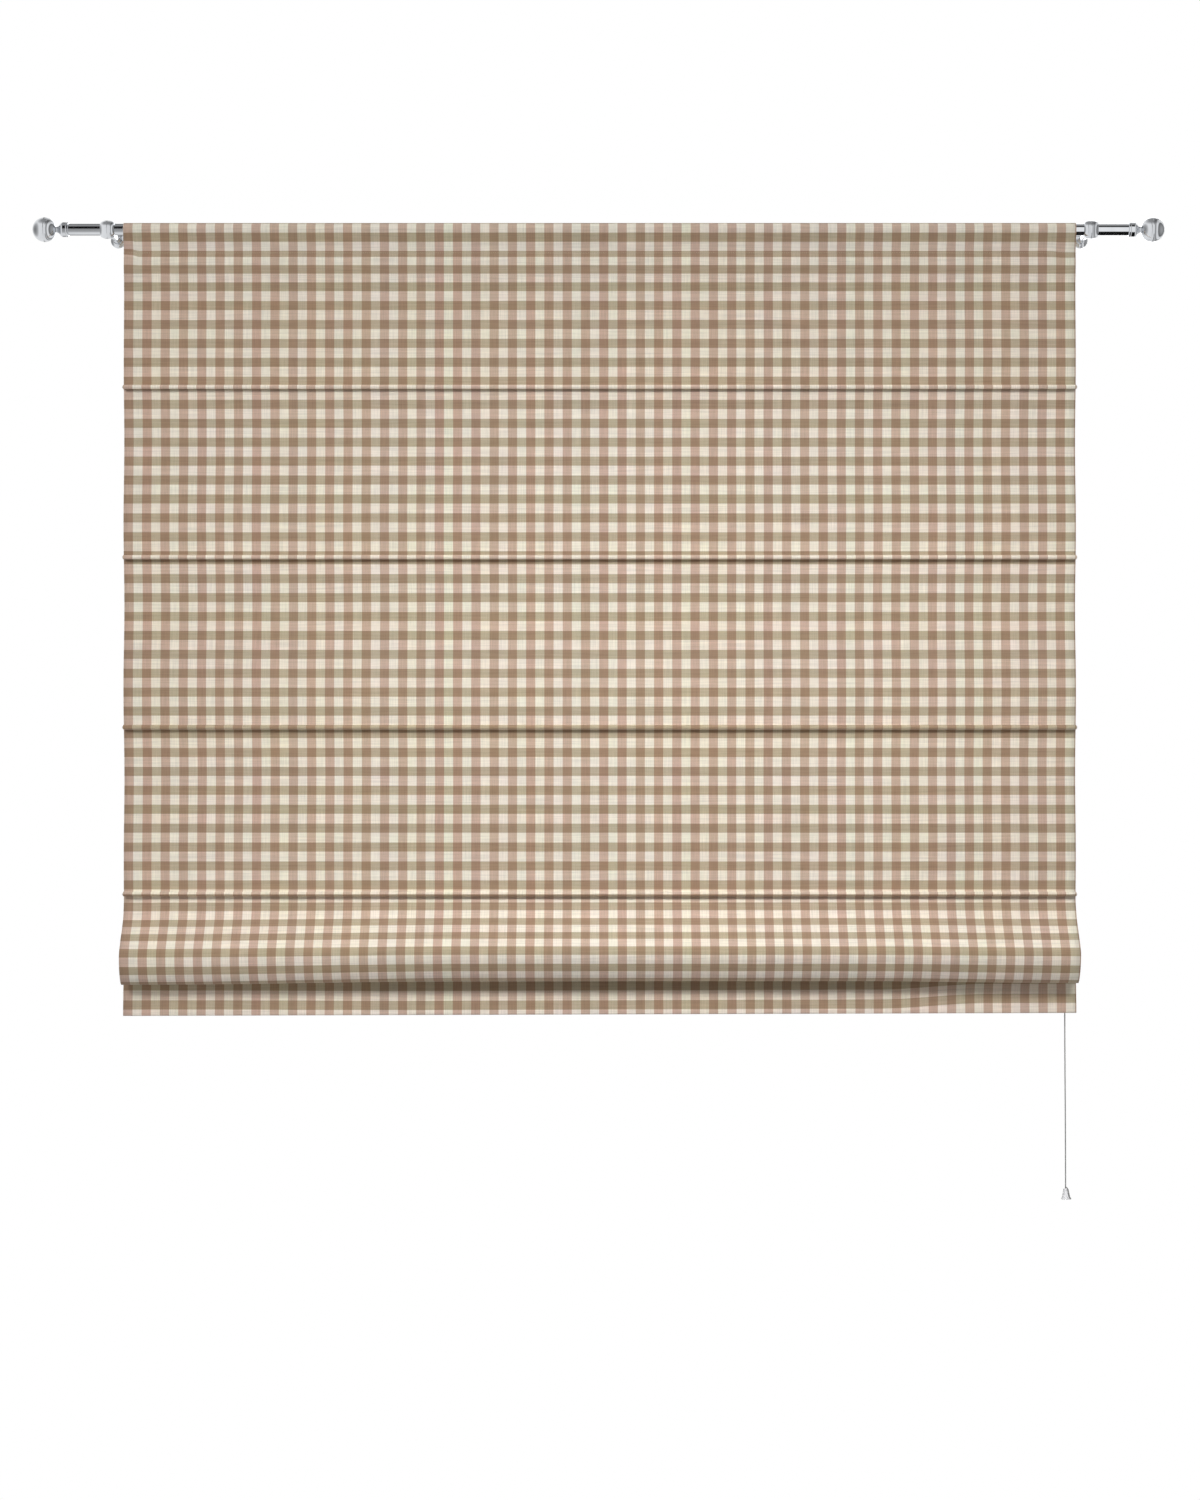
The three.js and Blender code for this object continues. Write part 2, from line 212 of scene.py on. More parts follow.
def settled(piece):
    evaluated = piece.evaluated_get(bpy.context.evaluated_depsgraph_get())
    mesh = bpy.data.meshes.new_from_object(evaluated)
    name = piece.name
    bpy.data.objects.remove(piece)
    return linked(name, mesh)


# Pull cord: three plies of polyester laid up into a 2 mm cord
cord = {
    "x": 767,
    "diameter": 2.0,
    "length": 1.51,
    "layLength": 7.5,  # one turn of a ply
    "stepsPerTurn": 10,
    "plies": 3,
    "plyRadius": 0.56,
    "plyOut": 0.5,
    "sides": 7,
    "colour": "#A6A6A4",
    "soiled": "#7E7F7F",
}
cordRoute = [  # sideways, behind the hanging plane, drop
    (0, 12, 74.3), (0, 12.2, 90), (0.1, 12.9, 120), (0.2, 13.8, 165), (0.3, 14.5, 225), (0.2, 15, 310),
    (0, 15, 410), (-0.2, 15, 520), (-0.3, 15, 640), (-0.1, 15, 760), (0.2, 15, 880), (0.4, 15, 1000),
    (0.3, 15, 1110), (0, 15, 1210), (-0.3, 15, 1300), (0.1, 15, 1385), (0.6, 15, 1460), (0.9, 15, 1525),
    (1, 15, 1565), (1, 15, 1584),
]
cordTail = [  # the loose end below the crown of the bell
    (1, 15, 1575.2), (1.6, 13.6, 1574.4), (3.2, 11.4, 1575.3), (4.6, 10.2, 1578.6), (5.3, 9.3, 1583),
    (6.1, 8.6, 1587.5), (7.6, 8.2, 1591.2), (8.9, 8.2, 1593.2),
]


def cordPlaces(route):
    return [
        Vector(((cord["x"] + aside) * mm, hangPlane + behind * mm, -drop * mm))
        for aside, behind, drop in route
    ]


def cordMaterial():
    # Polyester yarn, twisted and heat set: a dull gloss along the plies, greyed a little where hands pull it
    material, add = newMaterial("polyester_twisted_cord")
    place = add("TexCoord").outputs["Object"]
    fibres = add("TexNoise", {"Vector": place, "Scale": 2600.0, "Detail": 2.0})  # fibres of 0.4 mm
    wear = add("TexNoise", {"Vector": place, "Scale": 60.0, "Detail": 3.0})  # patches of 17 mm
    colour = add("Mix", {0: wear, 6: srgb(cord["colour"]), 7: srgb(cord["soiled"])}, data_type="RGBA")
    bump = add("Bump", {"Height": fibres, "Strength": 0.4, "Distance": 0.2 * mm})
    return finishMaterial(material, {"Base Color": colour, "Normal": bump, "Roughness": 0.62, "IOR": 1.57})


def twistedCordTree(material):
    floats = dict.fromkeys(("Ply out", "Ply radius", "Lay length"), "NodeSocketFloat")
    tree, add, given = geometryTree("twisted_cord", floats)
    smooth = add("GeometryNodeCurveSplineType", [given["Geometry"]], spline_type="CATMULL_ROM")
    step = cord["layLength"] * mm / cord["stepsPerTurn"]
    points = add("GeometryNodeResampleCurve", {"Curve": smooth, "Length": step}, mode="LENGTH")
    run = add("GeometryNodeSplineParameter").outputs["Length"]
    turns = add("Math", [run, given["Lay length"]], "DIVIDE")
    normal = add("GeometryNodeInputNormal")
    tangent = add("GeometryNodeInputTangent")
    ring = add(
        "GeometryNodeCurvePrimitiveCircle", {"Resolution": cord["sides"], "Radius": given["Ply radius"]}
    )
    joined = add("GeometryNodeJoinGeometry")
    for ply in range(cord["plies"]):
        phase = add("Math", [turns, ply / cord["plies"]], "ADD")
        angle = add("Math", [phase, math.tau], "MULTIPLY")
        away = add("VectorRotate", {"Vector": normal, "Axis": tangent, "Angle": angle})
        offset = add("VectorMath", {0: away, "Scale": given["Ply out"]}, "SCALE")
        strand = add("GeometryNodeSetPosition", {"Geometry": points, "Offset": offset})
        tube = add("GeometryNodeCurveToMesh", {"Curve": strand, "Profile Curve": ring, "Fill Caps": True})
        tree.links.new(tube.outputs[0], joined.inputs[0])
    finishTree(add, joined, material)
    return tree


cordFinish = cordMaterial()
cordTree = twistedCordTree(cordFinish)
cordValues = {
    "Ply out": cord["plyOut"] * mm,
    "Ply radius": cord["plyRadius"] * mm,
    "Lay length": cord["layLength"] * mm,
}
pullCord = runTree(curvePiece("pull_cord", [cordPlaces(cordRoute)]), cordTree, cordValues)
looseEnd = runTree(curvePiece("cord_end", [cordPlaces(cordTail)]), cordTree, cordValues)
print("pull cord", len(pullCord.data.polygons))


# Cloth: one length of woven check with a plain backing, from the turned-in edge of the flap behind the pole
# to the turned-in edge of the hem. "Out" is forward of the hanging plane, heights are from the pole's axis
cloth = {
    "width": 1562.5,
    "shift": 0.8,
    "thickness": 0.9,
    "columns": 124,
    "layer": 1.6,  # between the middles of two layers that are sewn together
    "poleRadius": 9.5,
    "poleEase": 0.45,
    "pocketWrap": (194, -17, 22),  # each wrap: from and to this angle, in this many steps
    "pocketSeam": 36,
    "flapSeam": 75,
    "flapEnd": 80,
    "turnIn": 10,
    "tuckDrops": (263, 542, 821, 1094.5),
    "tuckTakes": (24.0, 24.45, 25.25, 25.0),  # cloth that each tuck takes up
    "wrapRadius": 3.2,
    "tuckWrap": (90, -136, 10),
    "liftedWrap": (62, -242, 8),
    "hemWrap": (0, -150, 6),
    "rodOut": 7.2,
    "rodRise": 3.8,
    "liftLine": 1128,
    "liftedFoldOut": 6.4,
    "liftedFoldDrop": 10,
    "liftedRodDrop": 11.5,
    "loopTension": 0.97,  # the raised pleat carries no weight, so its cloth is this much shorter
    "hemBottom": 1288,
    "hemSlope": 2.5,
    "hemDepth": 40,
    "hemOut": 10,
    "hemTopOut": 6.5,
    "hemRoll": 2.4,
    "sideHem": 30,
    "flat": (1.56, 1.80),  # as it was cut, in metres
}
weave = {
    "repeatAcross": 30.0,
    "brownAcross": 15.05,
    "repeatDown": 31.06,
    "brownDown": 14.85,
    "firstPhase": -24.01,  # cloth from the pocket's seam, less the drop, on the first panel
    "hemRepeats": 53,  # whole repeats from the pocket's seam to the hem's fold
    "hemPhase": (23.5, 25.8, 31.9),  # and what is left over in mid-width, at the left and at the right
    "climbFrom": 459,  # the check climbs towards the right end of the skirt between these
    "climbTo": 632,
    "climbSlant": 0.08,
    "slantFrom": 399,  # its rows slant between these
    "slantTo": 672,
    "slantEnd": 760,
}
waves = {  # slow waves of the hanging cloth: each starts with its size
    "panel": (1.2, 2.3, 1.9, 0.6),
    "skirt": (1.5, 5, 1),
    "skirtSag": 3.5,
    "edge": (0.8, 44),
    "panels": (86, 1008),  # from the heading down to the raised pleat
    "broad": (0.35, 83, 210),
    "narrow": (0.21, 37, 95),
}
caughtFold = {  # the pocket's seam has caught a small fold at either end, which sets the rows there off
    "left": (-760, -771),
    "right": (738, 762),
    "run": (6, 15),
    "pulls": (7, 2.8),
}
loopFront = [  # length, lean in mid-width, lean at the sides
    (10, 14, 8), (15, 30, 13), (16, 37, 25), (15, 45, 42), (16, 44, 45), (15, 46, 43), (16, 41, 38),
    (7, 26, 24), (7, 4, 9), (8, -16, -5), (8, -27, -14), (8, -30, -22), (8, -33, -28), (8, -42, -38),
    (8, -50, -50), (6, -62, -66), (6, -78, -84), (5, -105, -112), (5, -135, -140), (6, -155, -156),
]
tuckOverRod = [(0, 7), (0, 4.9), (0.9, 3.7), (2.4, 3.3)]
tuckUnderRod = [(1.7, 1.55), (0.5, 1.35), (0, 0.2), (0, -4)]
liftedNeck = [(5.9, -2.6), (4, -0.9), (2.1, -1.3), (1, -3)]
headingRows = [  # out, drop, cloth: it is drawn together between the two seams
    (0, 36, 0), (2.6, 44.8, 14.85), (3.6, 58.6, 31.06), (1.6, 72.55, 45.91), (0, 86.13, 62.12),
]


class ClothPath:
    # The middle of the cloth seen from its side, with the length of real cloth where that is known
    def __init__(self, out, height):
        self.points = [(out, height)]
        self.marks = []
        self.parts = {}

    def to(self, *places):
        self.points.extend(places)

    def mark(self, clothLength):
        self.marks.append((len(self.points) - 1, clothLength))

    def name(self, part):
        self.parts[part] = len(self.points) - 1

    def arc(self, out, height, radius, start, end, steps):
        for i in range(steps + 1):
            angle = math.radians(lerp(start, end, i / steps))
            self.to((out + radius * math.cos(angle), height + radius * math.sin(angle)))

    def walk(self, length, lean):
        out, height = self.points[-1]
        lean = math.radians(lean)
        self.to((out + length * math.sin(lean), height - length * math.cos(lean)))


def addHeading(path):
    layer = cloth["layer"]
    seam, flap, end = -cloth["pocketSeam"], -cloth["flapSeam"], -cloth["flapEnd"]
    path.to((-layer, end + 1), (-1.5 * layer, end + 0.2), (-2 * layer, end + 1))
    path.name("flap")
    path.to((-2 * layer, flap), (-2 * layer, lerp(flap, seam, 0.5)), (-2 * layer, seam - 9), (-layer, seam))
    path.arc(0, 0, cloth["poleRadius"] + cloth["poleEase"] + cloth["thickness"] / 2, *cloth["pocketWrap"])
    path.name("front")
    for out, drop, clothLength in headingRows:
        path.to((out, -drop))
        path.mark(clothLength)


def addTuck(path, rodHeight, phase, take):
    path.to((0, rodHeight + tuckOverRod[0][1]))
    path.mark(-path.points[-1][1] + phase)
    path.to(*[(out, rodHeight + rise) for out, rise in tuckOverRod[1:]])
    path.arc(cloth["rodOut"], rodHeight, cloth["wrapRadius"], *cloth["tuckWrap"])
    path.to(*[(out, rodHeight + rise) for out, rise in tuckUnderRod])
    path.mark(-path.points[-1][1] + phase + take)


def addLoop(path, side):
    for length, lean, sideLean in loopFront:
        path.walk(length, lerp(lean, sideLean, side))
    front = sum(row[0] for row in loopFront)
    path.mark(path.marks[-1][1] + front / cloth["loopTension"])
    out, height = path.points[-1]
    top = -cloth["liftLine"] - cloth["liftedFoldDrop"]
    for share in (0.25, 0.5, 0.75):
        path.to((lerp(out, cloth["liftedFoldOut"], share) - 0.8, lerp(height, top, share)))
    path.to((cloth["liftedFoldOut"], top))


def addLiftedTuck(path):
    path.to(*[(out, -cloth["liftLine"] + rise) for out, rise in liftedNeck])
    path.arc(0, -cloth["liftLine"] - cloth["liftedRodDrop"], cloth["wrapRadius"], *cloth["liftedWrap"])
    path.to(*[(-out, -cloth["liftLine"] + rise) for out, rise in reversed(liftedNeck)])
    path.to((-cloth["liftedFoldOut"], -cloth["liftLine"] - cloth["liftedFoldDrop"]))


def hemPlace(fold, rise, layers):
    front = lerp(cloth["hemOut"], cloth["hemTopOut"], rise / cloth["hemDepth"])
    return front - layers * cloth["layer"], fold + rise


def addSkirt(path, across, sag):
    topOut, topHeight = path.points[-1]
    fold = -(cloth["hemBottom"] - cloth["hemSlope"] * across) + cloth["hemRoll"] + cloth["thickness"] / 2
    hemTop = fold + cloth["hemDepth"]
    path.name("skirt")
    for share in (0.2, 0.4, 0.6, 0.8, 1):
        out = lerp(topOut, cloth["hemTopOut"], share) - sag * math.sin(math.pi * share)
        path.to((out, lerp(topHeight, hemTop, share)))
    path.name("hemFront")
    path.to((lerp(cloth["hemTopOut"], cloth["hemOut"], 0.5), lerp(hemTop, fold, 0.5)))
    path.arc(cloth["hemOut"] - cloth["hemRoll"], fold, cloth["hemRoll"], *cloth["hemWrap"])
    path.parts["fold"] = len(path.points) - 4
    path.to(*[hemPlace(fold, rise, 2) for rise in (9, cloth["hemDepth"] / 2, cloth["hemDepth"] - 1)])
    for rise, layers in ((-0.2, 1.5), (-1, 1), (-cloth["turnIn"], 1)):
        path.to(hemPlace(fold, cloth["hemDepth"] + rise, layers))


def sideShare(across):
    return max(float(smoothStep(0.25, 1, -across)), 0.45 * float(smoothStep(0.55, 1, across)))


def clothSection(across):
    path = ClothPath(-cloth["layer"], -cloth["flapEnd"] + cloth["turnIn"])
    addHeading(path)
    phase = weave["firstPhase"]
    top = -headingRows[-1][1]
    for index, (drop, take) in enumerate(zip(cloth["tuckDrops"], cloth["tuckTakes"])):
        rodHeight = -drop + cloth["rodRise"]
        bottom = rodHeight + tuckOverRod[0][1]
        size, turn, shift, start = waves["panel"]
        swell = size * math.sin(turn * across + shift * index + start)
        for share in (0.2, 0.4, 0.6, 0.8):
            path.to((swell * math.sin(math.pi * share), lerp(top, bottom, share)))
        path.name(f"tuck{index}")
        addTuck(path, rodHeight, phase, take)
        phase += take
        top = rodHeight + tuckUnderRod[-1][1]
    side = sideShare(across)
    path.name("loop")
    addLoop(path, side)
    addLiftedTuck(path)
    size, turn, start = waves["skirt"]
    addSkirt(path, across, waves["skirtSag"] * (1 - side) + size * math.sin(turn * across + start))
    return path


def clothRun(path, points, across):
    # Real length of cloth along the section: its own length, fitted between the places where it is known
    length = np.concatenate([[0], np.cumsum(np.hypot(*np.diff(points, axis=0).T))])
    middle, left, right = weave["hemPhase"]
    x = across * cloth["width"] / 2 + cloth["shift"]
    climb = float(smoothStep(weave["climbFrom"], weave["climbTo"], x))
    hem = weave["hemRepeats"] * weave["repeatDown"] + middle
    hem += (left - middle) * float(smoothStep(0.3, 1, -across)) + (right - middle) * climb
    fold, skirt = path.parts["fold"], path.parts["skirt"]
    first, firstCloth = path.marks[0]
    known = [(0, firstCloth - length[first]), *path.marks]
    known += [(skirt, hem - length[fold] + length[skirt]), (fold, hem)]
    known.append((len(points) - 1, hem + length[-1] - length[fold]))
    return np.interp(length, [length[i] for i, _ in known], [c for _, c in known])


def cornersCut(values):
    # Every corner cut once, and both ends kept: place i becomes places 2i - 1 and 2i
    start, end = values[:-1], values[1:]
    cut = np.empty((2 * len(start), values.shape[1]))
    cut[0::2] = start * 0.75 + end * 0.25
    cut[1::2] = start * 0.25 + end * 0.75
    cut[0], cut[-1] = values[0], values[-1]
    return cut


class HungCloth:
    # Sections of the whole width: how far out, how high and how much cloth from the pocket's seam
    def __init__(self):
        shares = np.linspace(-1, 1, cloth["columns"] + 1)
        sections = []
        for across in shares:
            path = clothSection(across)
            points = np.array(path.points)
            sections.append(cornersCut(np.column_stack([points, clothRun(path, points, across)])))
        self.shares = shares
        self.parts = {name: 2 * index for name, index in path.parts.items()}
        self.out, self.height, self.run = np.moveaxis(np.array(sections), 2, 0)
        downShare = np.clip(-self.height / cloth["hemBottom"], 0, 1)
        size, length = waves["edge"]
        swing = size * np.sin(self.height / length) * np.sin(np.pi * downShare)
        self.x = cloth["shift"] + shares[:, None] * (cloth["width"] / 2 + swing)
        self.out = self.out + self.ripple()

    def ripple(self):
        # Slow waves of a cloth that hangs free between its rods
        top, span = waves["panels"]
        downShare = np.clip((-self.height - top) / span, 0, 1)
        free = np.sin(np.pi * downShare * len(cloth["tuckDrops"])) ** 2
        size, across, down = waves["broad"]
        broad = size * np.sin(self.x / across + self.height / down)
        size, across, down = waves["narrow"]
        return (broad + size * np.sin(self.x / across - self.height / down + 2)) * free

    def surface(self, column, index, lift):
        # A place on the outer face (lift above 0) or the inner face (below 0) of the cloth
        out, height = self.out[column], self.height[column]
        along = np.array([out[index + 1] - out[index - 1], height[index + 1] - height[index - 1]])
        along /= np.hypot(*along)
        place = np.array([out[index] - along[1] * lift, height[index] + along[0] * lift])
        return Vector((self.x[column, index] * mm, hangPlane - place[0] * mm, place[1] * mm))

    def indexAt(self, column, start, height):
        # The first place from a named part on that lies below (or, going up, above) the height
        first = self.parts[start]
        beyond = np.sign(self.height[column, first:] - height)
        return first + int(np.argmax(beyond != beyond[0]))


def makeCloth(hung, materials):
    columns, count = hung.out.shape
    vertices = np.stack([hung.x * mm, hangPlane - hung.out * mm, hung.height * mm], axis=-1).reshape(-1, 3)
    first = (np.arange(columns - 1)[:, None] * count + np.arange(count - 1)).reshape(-1)
    faces = np.stack([first, first + 1, first + count + 1, first + count], axis=-1).tolist()
    piece = meshPiece("blind_sheet", vertices, faces, materials)
    hemRun = weave["hemRepeats"] * weave["repeatDown"]
    skirt = hung.parts["skirt"]
    climbing = smoothStep(weave["slantFrom"], weave["slantTo"], hung.x)
    climbing = climbing * (1 - smoothStep(weave["slantTo"], weave["slantEnd"], hung.x))
    flatX = cloth["shift"] + np.repeat(hung.shares[:, None], count, axis=1) * cloth["width"] / 2
    flatX[:, skirt:] += (weave["climbSlant"] * climbing * np.minimum(hung.run - hemRun, 0))[:, skirt:]
    (left, right), (run, spread) = caughtFold["pulls"], caughtFold["run"]
    caught = left * smoothStep(*caughtFold["left"], hung.x) - right * smoothStep(*caughtFold["right"], hung.x)
    caught = caught * np.exp(-(((hung.run - run) / spread) ** 2))
    places = np.stack([flatX * mm, (hung.run + caught) * mm], axis=-1).reshape(-1, 2)
    corners = np.empty(len(piece.data.loops), int)
    piece.data.loops.foreach_get("vertex_index", corners)
    layer = piece.data.uv_layers.new(name="weave")
    layer.data.foreach_set("uv", places[corners].astype(np.float32).reshape(-1))
    solid = piece.modifiers.new("thickness", "SOLIDIFY")
    solid.thickness = cloth["thickness"] * mm
    solid.offset = 0
    solid.material_offset = 1
    solid.material_offset_rim = 1
    return settled(piece)


# Cotton, yarn dyed and plain woven: squares with crisp edges, the mixed ones a blend of their two yarns, with
# faint bars where a yarn is thicker. Real yarns lie 0.5 mm apart; they are drawn 1 mm apart so that they show
check = {
    "creamOnCream": "#F4EBDA",
    "brownWarp": "#CFB4A1",
    "brownWeft": "#C0B298",
    "brownOnBrown": "#A4886F",
    "yarnPitch": 1.0,
    "yarnContrast": 0.07,
    "warpSlubs": (900.0, 22.0, 3.1),  # to a metre across, to a metre along, and where the noise starts
    "weftSlubs": (12.0, 340.0, 7.7),
    "slubContrast": 0.44,
    "warpTint": 0.035,
    "weftTint": 0.03,
    "drift": 0.07,
}
lining = {"ivory": "#E9E3D6", "shade": "#DAD3C4", "yarnPitch": 0.7, "hemStep": 0.6}


def gridOf(add, place, axis, pitch):
    # The number of the yarn or stripe, and how far across it a place is
    along = add("Math", [place[axis], 1 / (pitch * mm)], "MULTIPLY")
    number = add("Math", [along], "FLOOR")
    within = add("Math", [along], "FRACT")
    return number, within


def weaveHeight(add, place, pitch):
    # Warp over weft and weft over warp by turns; gives the height and which of the two is on top
    height, numbers = {}, []
    for axis in ("X", "Y"):
        number, within = gridOf(add, place, axis, pitch)
        numbers.append(number)
        angle = add("Math", [within, math.pi], "MULTIPLY")
        height[axis] = add("Math", [angle], "SINE")
    total = add("Math", [numbers[0], numbers[1]], "ADD")
    warpOver = add("Math", [total, 2.0], "FLOORED_MODULO")
    weftOver = add("Math", [1.0, warpOver], "SUBTRACT")
    warp = add("Math", [height["X"], warpOver], "MULTIPLY")
    weft = add("Math", [height["Y"], weftOver], "MULTIPLY")
    return add("Math", [warp, weft], "MAXIMUM"), warpOver


def slubs(add, flat, across, along, seed):
    # Thicker stretches of yarn: noise drawn out along the yarn
    stretched = add("Mapping", {"Vector": flat, "Location": (seed, seed, 0), "Scale": (across, along, 1)})
    return add("TexNoise", {"Vector": stretched, "Scale": 1.0, "Detail": 2.0, "Roughness": 0.6})


def checkNodes(add):
    flat = add("UVMap", uv_map="weave")
    place = add("SeparateXYZ", [flat]).outputs
    brown, tones = {}, []
    for axis, repeat, width in (
        ("X", weave["repeatAcross"], weave["brownAcross"]),
        ("Y", weave["repeatDown"], weave["brownDown"]),
    ):
        _, within = gridOf(add, place, axis, repeat)
        brown[axis] = add("Math", [within, width / repeat], "LESS_THAN")
        stripe, _ = gridOf(add, place, axis, repeat / 2)
        tones.append(add("TexWhiteNoise", {"W": stripe}, noise_dimensions="1D").outputs[1])
    plain = add(
        "Mix", {0: brown["X"], 6: srgb(check["creamOnCream"]), 7: srgb(check["brownWarp"])}, data_type="RGBA"
    )
    crossed = add(
        "Mix", {0: brown["X"], 6: srgb(check["brownWeft"]), 7: srgb(check["brownOnBrown"])}, data_type="RGBA"
    )
    colour = add("Mix", {0: brown["Y"], 6: plain, 7: crossed}, data_type="RGBA")
    # Where the brown yarn of a mixed square is on top it shows darker, and the cream one lighter
    height, warpOver = weaveHeight(add, place, check["yarnPitch"])
    difference = add("Math", [brown["Y"], brown["X"]], "SUBTRACT")
    side = add("Math", [warpOver, -0.5], "ADD")
    mixed = add("Math", [difference, side], "MULTIPLY")
    warpSlubs = slubs(add, flat, *check["warpSlubs"])
    weftSlubs = slubs(add, flat, *check["weftSlubs"])
    uneven = add("Math", [warpSlubs, weftSlubs], "ADD")
    contrast = check["slubContrast"]
    light = add("Math", [uneven, contrast, 1 - contrast], "MULTIPLY_ADD")
    light = add("Math", [mixed, 2 * check["yarnContrast"], light], "MULTIPLY_ADD")
    colour = add("VectorMath", {0: colour, "Scale": light}, "SCALE")
    # Dye lots: each stripe is a little pinker or greener than the next, and the whole cloth drifts slowly
    drift = add("TexNoise", {"Vector": flat, "Scale": 26.0, "Detail": 1.0}).outputs[1]  # over about 40 mm
    for tone, strength in zip((*tones, drift), (check["warpTint"], check["weftTint"], check["drift"])):
        tint = add("VectorMath", [tone, (strength,) * 3, (1 - strength / 2,) * 3], "MULTIPLY_ADD")
        colour = add("VectorMath", [colour, tint], "MULTIPLY")
    return flat, place, colour, height, uneven


def clothBump(add, height, uneven, flat):
    # Yarns, thick yarns, and soft puckers where the seams draw the cloth together
    fine = add("Bump", {"Height": height, "Strength": 0.35, "Distance": 0.25 * mm})
    thick = add("Bump", {"Height": uneven, "Strength": 0.3, "Distance": 0.3 * mm, "Normal": fine})
    pucker = add("TexNoise", {"Vector": flat, "Scale": 22.0, "Detail": 2.0})  # 45 mm apart
    return add("Bump", {"Height": pucker, "Strength": 0.35, "Distance": 2.0 * mm, "Normal": thick})


def checkMaterial():
    material, add = newMaterial("cotton_yarn_dyed_plain_weave")
    flat, _, colour, height, uneven = checkNodes(add)
    return finishMaterial(
        material,
        {
            "Base Color": colour,
            "Normal": clothBump(add, height, uneven, flat),
            "Roughness": 0.88,
            "IOR": 1.5,
            "Sheen Weight": 0.12,
            "Sheen Roughness": 0.5,
        },
    )


def liningMaterial():
    # Ivory backing, with the check turned over it as a hem at both sides
    material, add = newMaterial("cotton_backing_with_turned_hems")
    flat, place, colour, _, uneven = checkNodes(add)
    middle = add("Math", [place["X"], -cloth["shift"] * mm], "ADD")
    away = add("Math", [middle], "ABSOLUTE")
    inner = (cloth["width"] / 2 - cloth["sideHem"]) * mm
    onHem = add("Math", [away, inner], "GREATER_THAN")
    fine, _ = weaveHeight(add, place, lining["yarnPitch"])
    backing = add("Mix", {0: uneven, 6: srgb(lining["shade"]), 7: srgb(lining["ivory"])}, data_type="RGBA")
    shown = add("Mix", {0: onHem, 6: backing, 7: colour}, data_type="RGBA")
    rise, half = lining["hemStep"] * mm, lining["hemStep"] / 2 * mm
    step = add("MapRange", {"Value": away, "From Min": inner - half, "From Max": inner + half})
    bump = clothBump(add, fine, uneven, flat)
    raised = add("Bump", {"Height": step, "Strength": 1.0, "Distance": rise, "Normal": bump})
    return finishMaterial(material, {"Base Color": shown, "Normal": raised, "Roughness": 0.9, "IOR": 1.5})


hung = HungCloth()
blindSheet = makeCloth(hung, [checkMaterial(), liningMaterial()])
print("cloth", len(blindSheet.data.polygons), "length", round(float(np.ptp(hung.run))))


# Stitching: lockstitch in cream thread, along the seams of the pocket, the flap and the hems
stitching = {
    "pitch": 3.0,
    "length": 2.3,
    "radius": 0.22,
    "sides": 5,
    "dip": 0.28,  # the ends of a stitch go down into the cloth by this
    "proud": 0.1,
    "belowPocketSeam": 2.5,
    "insideHem": 3,
    "sideTop": 84,  # the side seams keep to the flat panels below this
    "flatSlant": 0.35,
    "flatOut": 9,
    "colour": "#E9E1CD",
    # painted shade: the darker tone of the bands along the grooves between the thread's plies
    "shade": "#CFC4AA",
}


def threadMaterial():
    # Spun polyester thread, two-ply: pale, with painted shade in darker diagonal bands along the grooves
    # between the twisted plies
    material, add = newMaterial("polyester_sewing_thread")
    place = add("TexCoord").outputs["Object"]
    twist = add("TexWave", {"Vector": place, "Scale": 1800.0, "Distortion": 2.0}, bands_direction="DIAGONAL")
    # Painted shade: the twist's diagonal bands mix in the darker tone where the grooves between the plies lie
    colour = add(
        "Mix",
        {0: twist.outputs[1], 6: srgb(stitching["shade"]), 7: srgb(stitching["colour"])},
        data_type="RGBA",
    )
    return finishMaterial(material, {"Base Color": colour, "Roughness": 0.6, "IOR": 1.57})


def stitchTree(material):
    inputs = dict.fromkeys(("Pitch", "Length", "Radius"), "NodeSocketFloat")
    tree, add, given = geometryTree("lockstitch", {**inputs, "Away": "NodeSocketVector"})
    points = add(
        "GeometryNodeResampleCurve", {"Curve": given["Geometry"], "Length": given["Pitch"]}, mode="LENGTH"
    )
    tangent = add("GeometryNodeInputTangent")
    along = add("FunctionNodeAlignRotationToVector", {"Vector": tangent}, axis="X")
    turned = add(
        "FunctionNodeAlignRotationToVector",
        {"Rotation": along, "Vector": given["Away"]},
        axis="Z",
        pivot_axis="X",
    )
    half = add("Math", [given["Length"], 0.5], "MULTIPLY")
    minus = add("Math", [half, -1.0], "MULTIPLY")
    dip = -stitching["dip"] * mm
    start = add("CombineXYZ", {0: minus, 2: dip})
    end = add("CombineXYZ", {0: half, 2: dip})
    arch = add(
        "GeometryNodeCurveQuadraticBezier",
        {"Resolution": 4, "Start": start, "Middle": (0, 0, -dip + stitching["proud"] * mm), "End": end},
    )
    ring = add(
        "GeometryNodeCurvePrimitiveCircle", {"Resolution": stitching["sides"], "Radius": given["Radius"]}
    )
    stitch = add("GeometryNodeCurveToMesh", {"Curve": arch, "Profile Curve": ring, "Fill Caps": True})
    placed = add("GeometryNodeInstanceOnPoints", {"Points": points, "Instance": stitch, "Rotation": turned})
    finishTree(add, placed, material)
    return tree


def seamAcross(part, height, lift, slope=0.0):
    # A seam from side to side at one height
    line = []
    for column, share in enumerate(hung.shares):
        index = hung.indexAt(column, part, height + slope * share)
        line.append(hung.surface(column, index, lift))
    return line


